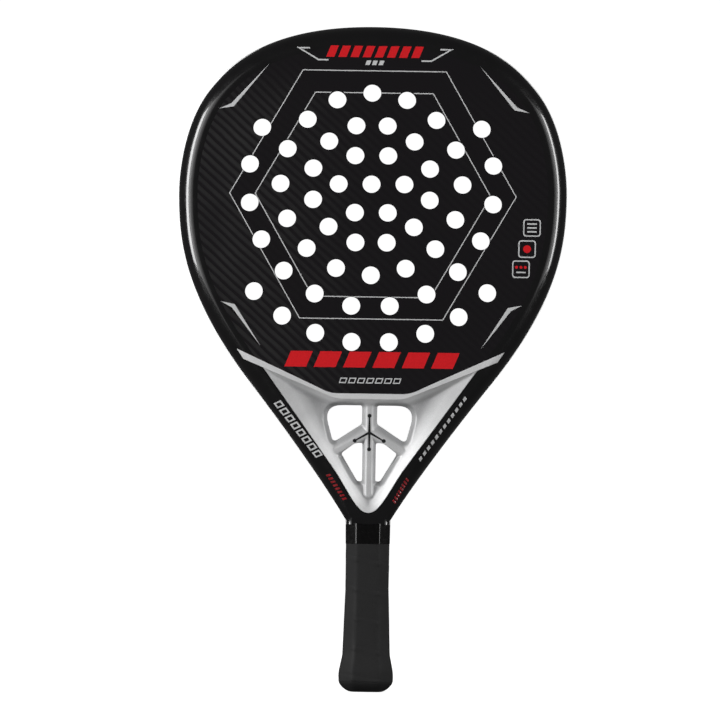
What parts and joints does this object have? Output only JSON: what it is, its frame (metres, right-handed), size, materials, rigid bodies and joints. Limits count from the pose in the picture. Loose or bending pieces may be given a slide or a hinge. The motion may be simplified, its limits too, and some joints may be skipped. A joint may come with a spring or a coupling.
{
  "type": "padel racket",
  "caption": "Teardrop padel racket: drilled flat face in a hollow frame, windowed silver throat insert and short wrapped octagonal handle.",
  "frame": {"origin": "centre of the butt's end face, midway through the racket's thickness", "axes": "+Z along the racket from the butt to the crown, +X across the face to the right as the front is seen, front face towards -Y"},
  "size_m": [0.26, 0.038, 0.4444],
  "materials": {
    "frame_lacquer": "high gloss black lacquer over carbon composite",
    "face_laminate": "satin clear coat over dark diagonal carbon plies with red and silver bars",
    "silver_lacquer": "satin metallic silver lacquer",
    "inlay": "satin black",
    "foam": "fine closed-cell foam",
    "bare_composite": "bare fibre laminate, not lacquered",
    "grip": "matt soft-touch polyurethane, spirally wrapped",
    "tape": "smooth satin black tape",
    "cap_plastic": "fine moulded texture",
    "staple_steel": "drawn steel wire"
  },
  "bodies": {
    "root": {"frame_tube": "frame_lacquer", "bridge_tube": "bare_composite", "head_core": "foam", "front_face": "face_laminate", "rear_face": "face_laminate", "throat_insert": "silver_lacquer", "front_inlay": "inlay", "rear_inlay": "inlay", "handle_core": "foam", "handle_sleeve": "bare_composite", "base_grip": "grip", "finishing_tape": "tape", "butt_cap": "cap_plastic", "front_staple": "staple_steel", "rear_staple": "staple_steel"}
  },
  "joints": []
}
